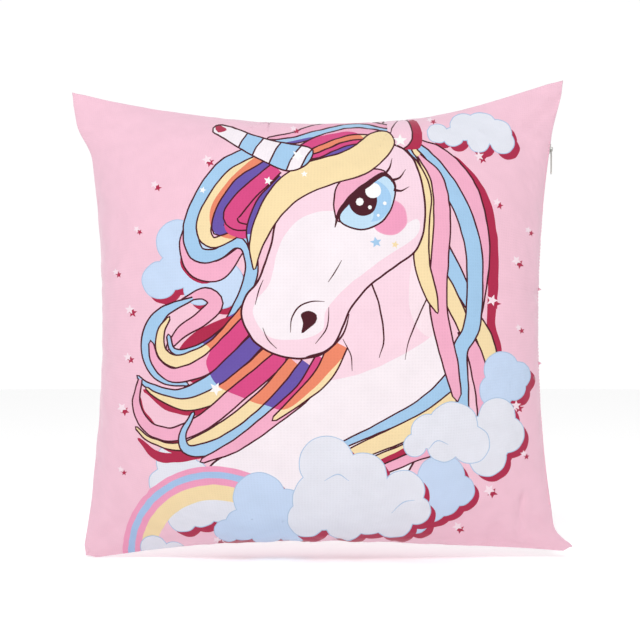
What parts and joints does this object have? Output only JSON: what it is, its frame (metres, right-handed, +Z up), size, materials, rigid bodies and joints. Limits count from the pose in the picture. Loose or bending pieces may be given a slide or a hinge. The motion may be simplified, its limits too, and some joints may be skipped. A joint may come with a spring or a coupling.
{
  "type": "throw cushion",
  "caption": "Square throw cushion with an illustrated front, a fibre-filled inner pad and a coil zip in its side seam that opens the cover.",
  "frame": {"origin": "on the ground below the cushion's middle, as it stands on its two lower corners", "axes": "+Z up, +X to the zip's side, +Y from the printed front to the plain back"},
  "size_m": [0.44, 0.146, 0.43],
  "materials": {
    "printed_fabric": "brushed woven polyester, dye printed, matt with a soft bloom",
    "plain_fabric": "brushed woven polyester, matt with a soft bloom",
    "zip_tape": "woven polyester tape",
    "zip_coil": "extruded nylon monofilament, satin",
    "sewing_thread": "spun polyester",
    "zip_metal": "nickel-plated zinc, bright with fine tumbling marks",
    "pad_casing": "spun-bonded polypropylene",
    "polyester_fibre": "loose hollow polyester fibre"
  },
  "bodies": {
    "cushion": {"cover_front_panel": "printed_fabric", "cover_back_panel": "plain_fabric", "seam_allowance": "plain_fabric", "zip_tape_front": "zip_tape", "zip_tape_back": "zip_tape", "zip_coil_front": "zip_coil", "zip_coil_back": "zip_coil", "zip_stitching_front": "sewing_thread", "zip_stitching_back": "sewing_thread", "zip_top_stop_front": "zip_metal", "zip_top_stop_back": "zip_metal", "zip_bottom_stop": "zip_metal", "pad_casing_front": "pad_casing", "pad_casing_back": "pad_casing", "fibre_filling": "polyester_fibre"},
    "zip_slider": {"zip_slider": "zip_metal"},
    "zip_pull": {"zip_pull": "zip_metal"}
  },
  "joints": [
    {"name": "slider_travel", "type": "hinge", "parent": "cushion", "child": "zip_slider", "pos_m": [1.3101, 0, 0.215], "axis": [0, -1, 0], "range_deg": [0, 16.5]},
    {"name": "pull_swing", "type": "hinge", "parent": "zip_slider", "child": "zip_pull", "pos_m": [0.21221, 0, 0.3744], "axis": [0, -1, 0], "range_deg": [-7, 165]}
  ]
}
